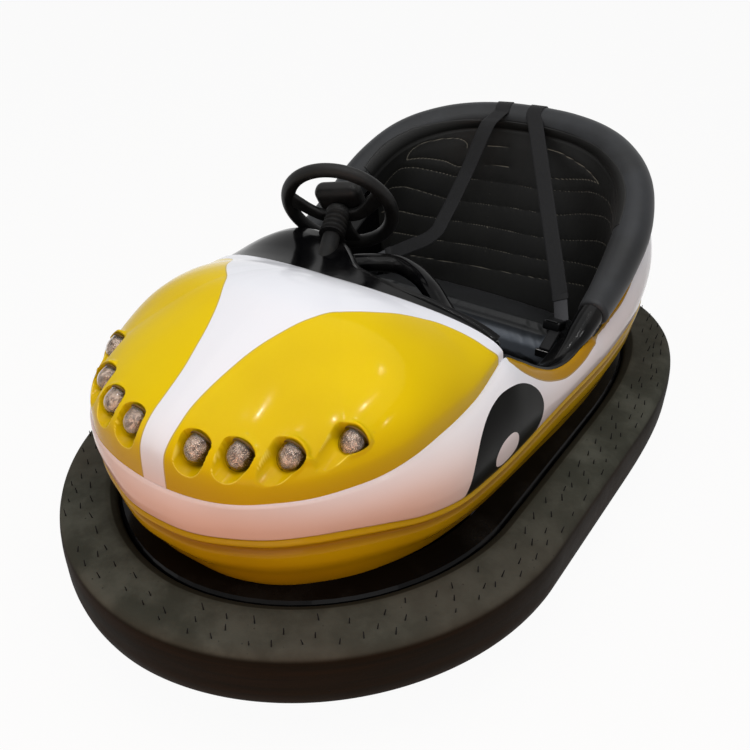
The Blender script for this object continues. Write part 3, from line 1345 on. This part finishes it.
print("the back pad's upper edge is", round(float(run_along(crown)[-1]), 2), "m long")

# %% Sewn lines
# Lines on the back pad, as shares (across the crown, down the face)
SEWN = [[(.133, .078), (.138, .050), (.150, .030), (.185, .020), (.226, .025), (.265, .034),
         (.299, .048), (.322, .080), (.324, .105)],
        [(.137, .083), (.20, .125), (.26, .170), (.318, .211), (.326, .205)],
        [(.383, .093), (.446, .088)], [(.385, .203), (.456, .198)],
        [(.555, .058), (.595, .059), (.631, .068), (.697, .080), (.742, .092), (.765, .097)],
        [(.575, .208), (.61, .196), (.66, .165), (.71, .128), (.765, .097)],
        [(.030, .150), (.060, .130), (.102, .113), (.14, .140), (.20, .195), (.26, .245), (.310, .276),
         (.37, .290), (.45, .292), (.536, .286), (.597, .266), (.66, .235), (.73, .180), (.804, .133),
         (.845, .115), (.883, .118), (.925, .160), (.960, .225)],
        [(.030, .215), (.054, .206), (.11, .245), (.18, .320), (.24, .375), (.300, .414), (.38, .425),
         (.47, .422), (.561, .409), (.627, .388), (.70, .330), (.78, .262), (.83, .218), (.878, .188),
         (.93, .20)],
        [(.02, .33), (.06, .370), (.119, .429), (.19, .49), (.25, .520), (.302, .536), (.40, .550),
         (.50, .550), (.587, .539), (.664, .506), (.74, .450), (.81, .385), (.877, .333), (.93, .32)],
        [(.03, .50), (.07, .548), (.113, .584), (.19, .630), (.272, .662), (.36, .672), (.45, .675),
         (.54, .668), (.618, .652), (.690, .609), (.77, .565), (.854, .511), (.93, .47)],
        [(.18, .76), (.24, .775), (.305, .787), (.432, .787), (.54, .775), (.635, .752), (.72, .715),
         (.80, .67)],
        [(.405, .21), (.414, .30), (.416, .398), (.426, .52), (.435, .627), (.44, .74)]]
sewn_lines = []
for line in SEWN:
    u, v = path_points(line, 220).T
    sewn_lines.append(pad_surface(u, v))
# The last line is a row of single stitches
sewn_lines[-1] = sewn_lines[-1][::9]
print("sewn lines:", len(sewn_lines))

# %% Back pad
PAD_COLUMNS = 330
PAD_ROWS = 132


def pad_place(u, v):
    """The back pad's face with foam puffed up between the sewn lines."""
    v = v * 1.08 - .08
    points = pad_surface(u, v)
    around = near_lines(points, sewn_lines[:-1])
    puff = .0014 * (1 - np.exp(-around / .012)) * soft_step(v, .02, .10) * (1 - soft_step(v, .90, 1.0))
    puff *= soft_step(np.minimum(u, 1 - u), .0, .04)
    crease = .00025 * np.sin(u * 260 + 3 * np.sin(v * 21)) * np.exp(-(around / .012) ** 2)
    face = unit(along_crown(crown_in, u) + (0, 0, .25))
    return points + face * (puff + crease)[:, None]


shape = moved_grid(PAD_COLUMNS, PAD_ROWS, pad_place)
back_pad = piece("channelled_back_pad", shape, seat_vinyl, nodes=["seat_back_pad"], slot="seat_vinyl",
                 smooth=80)
pad_points = mesh_points(back_pad)
store(back_pad, "seam_line", near_lines(pad_points, sewn_lines))
normal_y = sum(face.normal.y * face.area for face in back_pad.data.polygons)
wall(back_pad, .022, offset=-1.0 if normal_y < 0 else 1.0)
print("back pad faces:", len(back_pad.data.polygons), "sewn lines:", len(SEWN))

# %% [markdown]
# The cushion is a real padded bag, so it is inflated by a cloth simulation: a block with a
# noise on it would look like a stone. A slightly small block is remeshed to even faces of
# 5.5 mm, pressed outwards for 20 frames, and each point's travel is capped so that the cushion stays
# in its place. The seams come after.

# %% Cushion block
def cushion_back(x):
    """How far back the cushion reaches, as it curves with the seat's rear."""
    return .474 + .060 * (1 - (x / .36) ** 2)


def cushion_top(y):
    """Height of the cushion's top, which slopes up to the front."""
    return .405 + (.4025 - y) * .26


block = bmesh.new()
bmesh.ops.create_cube(block, size=1.0)
bmesh.ops.subdivide_edges(block, edges=block.edges, cuts=15, use_grid_fill=True)
for vert in block.verts:
    share = np.clip(vert.co + Vector((.5, .5, .5)), 0, 1)
    x = -.329 + .658 * share[0]
    y = .277 + (cushion_back(x) - .283) * share[1]
    vert.co = (x, y, .306 + (cushion_top(y) - .010 - .306) * share[2])
bmesh.ops.bevel(block, geom=[edge for edge in block.edges if edge.calc_face_angle(0) > 1.0], offset=.012,
                segments=3, affect="EDGES", profile=0.5, material=-1)
cushion = piece("seat_cushion_bag", block, cushion_vinyl, nodes=["seat_cushion"], slot="seat_vinyl",
                smooth=80)
print("cushion block faces:", len(cushion.data.polygons))

# %% Inflate the cushion
def bake_points(made):
    graph = bpy.context.evaluated_depsgraph_get()
    mesh = bpy.data.meshes.new_from_object(made.evaluated_get(graph))
    made.modifiers.clear()
    made.data = mesh


remesh = cushion.modifiers.new("remesh", "REMESH")
remesh.mode = "VOXEL"
remesh.voxel_size = 0.0055
remesh.use_smooth_shade = True
bake_points(cushion)
before = mesh_points(cushion)
cloth = cushion.modifiers.new("cloth", "CLOTH")
cloth.settings.quality = 4
cloth.settings.mass = 0.3
cloth.settings.tension_stiffness = 15
cloth.settings.compression_stiffness = 15
cloth.settings.bending_stiffness = 0.6
cloth.settings.use_pressure = True
cloth.settings.uniform_pressure_force = 4.0
cloth.settings.effector_weights.gravity = 0.0
cloth.point_cache.frame_start = 1
cloth.point_cache.frame_end = 20
for step in range(1, 21):
    bpy.context.scene.frame_set(step)
bake_points(cushion)
bpy.context.scene.frame_set(1)
after = mesh_points(cushion)
moved = after - before
travel = np.linalg.norm(moved, axis=1)
print("cushion points:", len(after), "furthest travel:", round(float(travel.max()), 4))

# %% Cushion's travel and seams
CUSHION_CAP = 0.013
moved *= (np.minimum(travel, CUSHION_CAP) / np.maximum(travel, 1e-9))[:, None]
settled = before + moved
settled[:, 2] = np.clip(settled[:, 2], .3006, cushion_top(settled[:, 1]) + .006)
settled[:, 1] = np.clip(settled[:, 1], .268, cushion_back(settled[:, 0]) + .002)
settled[:, 0] = np.clip(settled[:, 0], -.338, .338)
welt_x = np.linspace(-.322, .322, 260)
front_y = np.full(260, .2745)
welt_front = np.stack((welt_x, front_y, cushion_top(front_y) - .008), 1)
welt_rear_y = cushion_back(welt_x) - .010
welt_rear = np.stack((welt_x, welt_rear_y, cushion_top(welt_rear_y) - .006), 1)
near_welt = near_lines(settled, [welt_front, welt_rear])
centre = settled.mean(axis=0)
settled -= unit(settled - centre) * (.0022 * np.exp(-(near_welt / .006) ** 2))[:, None]
cushion.data.vertices.foreach_set("co", settled.ravel())
store(cushion, "seam_line", near_welt + .0012)
smooth_step = cushion.modifiers.new("smooth", "SUBSURF")
smooth_step.levels = 1
smooth_step.render_levels = 1
print("cushion reaches forward to", round(float(settled[:, 1].min()), 3), "m")

# %% [markdown]
# Each shoulder belt is flat webbing that comes over the bolster and hangs down the back pad.
# It could be a simulated strip, but its route is known from the photograph, so it is laid
# along points that rest on the bolster and the pad. Distances along and across the belt are
# kept on the mesh, so that the weave follows the webbing.

# %% Belt webbing
webbing = Finish("belt_webbing", sheen_weight=0.03, specular_ior_level=0.15)
across = webbing.attribute("across")
along = webbing.attribute("along")
rib = (along * 2600).math("SINE")
edge_band = across.math("ABSOLUTE").smooth(0.0186, 0.0196)
cord = (across * 2900).math("SINE")
fuzz = webbing.noise(90, 3, 0.6)
weave = rib * 0.5 * (1 - edge_band) + cord * 0.35
webbing.set("Base Color", webbing.blend(fuzz.smooth(0.3, 0.8) * 0.6 + edge_band * 0.3, srgb(11, 11, 12),
                                        srgb(25, 25, 27)))
webbing.set("Roughness", 0.48 + fuzz * 0.2)
webbing.set("Normal", webbing.bump(weave, 0.45, 0.0004))
print("webbing ready")

# %% Belt routes
BELT_HALF_WIDTH = 0.022
# Share of a belt's line where its webbing ends in the loop
LOOP_SHARE = 0.885
# Where each belt crosses the bolster, places (x, z) that it passes on the pad, and where it ends
BELTS = {"right": (-.108, [(-.112, .84), (-.128, .72), (-.138, .63), (-.147, .555)], -.303),
         "left": (-.009, [], .303)}
seat_top = float(cushion_top(.303)) + .002


def pad_front(x, z):
    """How far forward the back pad reaches at a height, near x."""
    close = (np.abs(pad_points[:, 0] - x) < .024) & (np.abs(pad_points[:, 2] - z) < .012)
    return pad_points[close, 1].min() if close.any() else 1.0


belt_lines = {}
for label, (top_x, passes, end_x) in BELTS.items():
    near = int(np.argmin(np.abs(roll_line[:, 0] - top_x)))
    lean = roll_along[near] * np.sign(roll_along[near, 0])
    back_dir = unit(np.cross((0, 0, 1.0), lean))
    up_dir = np.cross(lean, back_dir)
    round_roll = BOLSTER_RADIUS + .0016
    over = [roll_line[near] + round_roll * (math.cos(angle) * back_dir + math.sin(angle) * up_dir)
            for angle in np.radians(np.linspace(-20, 134, 20))]
    fold = np.array((end_x, .350, seat_top + .032))
    turns = np.array([over[-1], *((x, .5, z) for x, z in passes), fold])
    hang = []
    for share in np.linspace(.06, 1, 17):
        x, y, z = [np.interp(share, np.linspace(0, 1, len(turns)), turns[:, axis]) for axis in range(3)]
        y = over[-1][1] + (fold[1] - over[-1][1]) * share
        hang.append((x, min(y, pad_front(x, z) - .004), z))
    line = path_points([*over, *hang, (end_x, .303, seat_top + .026)], 260)
    belt_lines[label] = (line, lean)


print("belts run", [round(float(run_along(line)[-1]), 2) for line, lean in belt_lines.values()])

# %% Webbing strips
def belt_sides(line, lean):
    """Direction across the webbing at each point, turning from the bolster's lean to level."""
    ahead = unit(np.gradient(line, axis=0))
    share = soft_step(np.linspace(0, 1, len(line)), .20, .42)[:, None]
    side = lean * (1 - share) + np.array((1.0, 0, 0)) * share
    return unit(side - ahead * np.sum(side * ahead, axis=1)[:, None])


for label, (line, lean) in belt_lines.items():
    side = belt_sides(line, lean)
    last = int(len(line) * LOOP_SHARE)

    def belt_place(u, v):
        row = np.rint(u * last).astype(int)
        return line[row] + side[row] * ((v - .5) * 2 * BELT_HALF_WIDTH)[:, None]

    belt = piece(f"webbing_{label}", moved_grid(last, 10, belt_place), webbing,
                 nodes=[f"shoulder_belt_{label}"], slot="belt_webbing", smooth=60, merge=None)
    spots = mesh_points(belt)
    tree = spot_tree(line)
    nearest = np.array([tree.find(spot)[1] for spot in spots])
    store(belt, "along", run_along(line)[nearest])
    store(belt, "across", np.sum((spots - line[nearest]) * side[nearest], axis=1))
    wall(belt, .0018, offset=0)
print("webbing strips:", len(belt_lines))

# %% [markdown]
# Each belt ends in a folded, stitched loop with a steel tongue, and its buckle stands on a short
# stalk at the cushion's front. They are hard parts with flat faces, so bevelled blocks are
# enough: the small round of each edge catches the light and makes the size believable.

# %% Belt loops, steel tongues and buckles
tongue_steel = mottled("tongue_steel", (160, 3, 0.6), srgb(16, 16, 18), srgb(38, 38, 42), 0.34, 0.16,
                       metallic=0.3, specular_ior_level=0.3)
bright_steel = mottled("bright_steel", (160, 3, 0.6), srgb(170, 168, 166), srgb(215, 212, 210), 0.22,
                       0.12, metallic=1.0)
buckle_plastic = mottled("buckle_plastic", (300, 2, 0.5), srgb(8, 8, 9), srgb(16, 16, 17), 0.34, 0.12,
                         (0.12, 0.0004), specular_ior_level=0.2)
tilt = Matrix.Rotation(math.radians(-16), 4, "X")
stalk_tilt = Matrix.Rotation(math.radians(24), 4, "X")

for label, (line, lean) in belt_lines.items():
    side = belt_sides(line, lean)
    first = int(len(line) * LOOP_SHARE)
    spot = Vector(line[first])
    ahead = (Vector(line[-12]) - spot).normalized()
    width = Vector(side[first])
    out = ahead.cross(width).normalized()
    if out.y > 0:
        out = -out
    turn = Matrix((width, ahead, out)).transposed().to_4x4()
    block_piece(f"belt_loop_{label}", (.0450, .020, .0058), .0022, Matrix.Translation(spot) @ turn, webbing,
                slot="belt_webbing", smooth=60)
    length = (Vector(line[-6]) - spot).length
    middle = spot + ahead * (length * .5 + .004)
    block_piece(f"belt_tongue_{label}", (.0385, length, .0026), .0012, Matrix.Translation(middle) @ turn,
                tongue_steel, slot="zinc_steel", smooth=60)
    end_x = BELTS[label][2]
    block_piece(f"belt_lock_{label}", (.050, .052, .027), .0065,
                Matrix.Translation((end_x, .300, seat_top + .0165)) @ tilt, buckle_plastic,
                nodes=[f"belt_buckle_{label}"], slot="black_plastic", segments=4, smooth=60)
    block_piece(f"lock_button_{label}", (.034, .015, .006), .002,
                Matrix.Translation((end_x, .284, seat_top + .0335)) @ tilt, buckle_plastic,
                slot="black_plastic", smooth=60)
    anchor_x = end_x + math.copysign(.012, end_x)
    block_piece(f"lock_stalk_{label}", (.030, .070, .010), .003,
                Matrix.Translation((anchor_x, .248, seat_top - .004)) @ stalk_tilt, webbing,
                slot="belt_webbing", smooth=60)
    block_piece(f"belt_anchor_{label}", (.040, .012, .022), .003,
                Matrix.Translation((end_x + .006, .222, seat_top - .034)), buckle_plastic,
                slot="black_plastic", smooth=60)
    block_piece(f"anchor_edge_{label}", (.034, .0022, .0022), .0006,
                Matrix.Translation((end_x + .006, .2165, seat_top - .0232)), bright_steel,
                slot="zinc_steel", smooth=60)
print("buckles made")

# %% [markdown]
# Each lamp is a clear dome over a faceted reflector. A bright material would look like a
# sticker. The facets are flat and a little uneven on purpose: they break the studio into small
# sparkles, which is how the lamps read in daylight.

# %% Lamp finishes
glass = Finish("lamp_glass", base_color=srgb(232, 224, 218), transmission_weight=1.0, ior=1.3)
smudge = glass.noise(60, 3, 0.6)
glass.set("Roughness", 0.02 + smudge.smooth(0.5, 0.8) * 0.05)
facet_metal = Finish("lamp_reflector", metallic=0.85)
tint = facet_metal.noise(70, 3, 0.6)
dimples = facet_metal.cells(430)
metal = facet_metal.blend(tint.smooth(0.3, 0.7), srgb(206, 192, 180), srgb(104, 84, 70))
flecked = facet_metal.blend(1 - dimples.smooth(0.22, 0.36), metal, srgb(255, 254, 250))
facet_metal.set("Base Color", flecked)
facet_metal.set("Normal", facet_metal.bump(dimples, 1.0, 0.0012))
facet_metal.set("Roughness", 0.08 + tint * 0.10)
gasket = mottled("lamp_gasket", (200,), srgb(92, 70, 30), srgb(112, 86, 38), 0.6, specular_ior_level=0.1)
print("lamp finishes ready")

# %% Lamps
DOME_PROFILE = [(.0001, .0295), (.006, .0287), (.0125, .0258), (.0180, .0208), (.0223, .0140),
                (.0248, .0055), (.0254, -.004), (.0255, -.010), (.0253, -.014)]
DOME_PLACES = [(.0760, -.812, .6250), (.1545, -.788, .6265), (.2300, -.738, .6240), (.3010, -.650, .6310)]
jitter = np.random.default_rng(3)
for index, (x, y, z) in enumerate(DOME_PLACES):
    for side, label in ((1, "left"), (-1, "right")):
        name = f"{label}_{index + 1}"
        turn = Matrix(((1, 0, 0), tuple(-channel_up), tuple(channel))).transposed().to_4x4()
        place = Matrix.Translation((x * side, y, z - .002)) @ turn @ Matrix.Diagonal((1.0, 1.13, 1.0, 1))
        dome = piece(f"lamp_dome_{name}", spun(path_points(DOME_PROFILE, 18), 48, place), glass,
                     nodes=[f"lamp_{name}"], slot="lamp_dome", smooth=60)
        wall(dome, .0014)
        jewel = bmesh.new()
        bmesh.ops.create_icosphere(jewel, subdivisions=3, radius=.0232)
        for vert in jewel.verts:
            vert.co.z *= 1.10
            vert.co *= 1 + jitter.uniform(-.035, .035)
        bmesh.ops.bisect_plane(jewel, geom=jewel.verts[:] + jewel.edges[:] + jewel.faces[:],
                               plane_co=(0, 0, -.011), plane_no=(0, 0, -1), clear_outer=True)
        bmesh.ops.transform(jewel, matrix=place, verts=jewel.verts)
        piece(f"lamp_facets_{name}", jewel, facet_metal, slot="zinc_steel", smooth=4)
        ring_angles = np.linspace(0, 2 * math.pi, 13)
        band = [(.0250 + .0020 * math.cos(angle), -.0145 + .0020 * math.sin(angle))
                for angle in ring_angles]
        piece(f"lamp_seal_{name}", spun(band, 48, place), gasket, slot="black_plastic", smooth=60)
print("lamps set:", 2 * len(DOME_PLACES))

# %% [markdown]
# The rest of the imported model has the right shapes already, and much of it is hidden. So its
# nodes keep their meshes and get finishes of their own: painted steel with chips, zinc, tyre
# rubber with a tread, and a ribbed floor mat.

# %% Steel and zinc
def steel_paint(name, dark, light, roughness=0.45):
    paint = Finish(name, metallic=0.3)
    cloud = paint.noise(14, 5, 0.6)
    chips = paint.noise(70, 4, 0.65)
    worn = chips.smooth(0.62, 0.72)
    paint.set("Base Color", paint.blend(worn * 0.6, paint.blend(cloud, dark, light), srgb(112, 106, 98)))
    paint.set("Roughness", roughness + cloud * 0.2)
    paint.set("Normal", paint.bump(chips, 0.15, 0.001))
    return paint


ledge_paint = gloss_black("ledge_paint", dust=0.30)
chassis_steel = steel_paint("chassis_steel", srgb(30, 31, 32), srgb(48, 48, 50))
fork_steel = steel_paint("fork_steel", srgb(44, 46, 50), srgb(66, 68, 72), 0.4)
zinc = mottled("zinc_plate", (60, 4, 0.6), srgb(150, 152, 156), srgb(196, 198, 202), 0.3, 0.2,
               metallic=1.0)
print("steel and zinc ready")

# %% Tyres, floor mat and inner boards
tyre = Finish("tyre_rubber")
worn_tread = tyre.noise(30, 5, 0.6)
groove = (tyre.axis("X") * 700).math("SINE").smooth(0.55, 0.9)
tyre.set("Base Color", tyre.blend(worn_tread.smooth(0.4, 0.7), srgb(26, 26, 27), srgb(52, 50, 48)))
tyre.set("Roughness", 0.7 + worn_tread * 0.15)
tyre.set("Normal", tyre.bump(worn_tread - groove * 0.6, 0.4, 0.0015))
mat = Finish("floor_mat")
mat_rib = (mat.axis("X") * 420).math("SINE").smooth(-0.2, 0.6)
mat_dust = mat.noise(12, 5, 0.6)
mat.set("Base Color", mat.blend(mat_dust.smooth(0.35, 0.75) * 0.6, srgb(22, 22, 23), srgb(70, 66, 60)))
mat.set("Roughness", 0.65 + mat_dust * 0.2)
mat.set("Normal", mat.bump(mat_rib, 0.5, 0.0018))
inner_board = mottled("inner_board", (120, 4, 0.6), srgb(20, 20, 21), srgb(38, 37, 36), 0.55, 0.2,
                      (0.2, 0.0008))
print("tyres, mat and boards ready")

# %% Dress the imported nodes
def dress(finish, *nodes):
    """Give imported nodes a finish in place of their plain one."""
    for name in nodes:
        for held in frame["nodes"][name].material_slots:
            held.material = finish.material


column_paint = steel_paint("column_paint", srgb(9, 9, 10), srgb(17, 17, 18), 0.5)
motor_paint = steel_paint("motor_paint", srgb(28, 34, 42), srgb(40, 48, 58), 0.35)

dress(ledge_paint, "chassis_rim")
dress(chassis_steel, "floor_plate", "turntable_ring", "rear_cheek_left_inner", "rear_cheek_left_outer",
      "rear_cheek_right_inner", "rear_cheek_right_outer")
dress(fork_steel, "fork_plate", "fork_leg_left", "fork_leg_right", "motor_saddle")
dress(column_paint, "steering_column")
dress(zinc, "drive_axle", "drive_hub", "rear_left_hub", "rear_right_hub", "rear_axle_left",
      "rear_axle_right")
dress(tyre, "drive_tyre", "rear_left_tyre", "rear_right_tyre")
dress(mat, "foot_floor")
dress(inner_board, "bulkhead", "seat_base")
dress(motor_paint, "drive_motor")
print("nodes dressed")
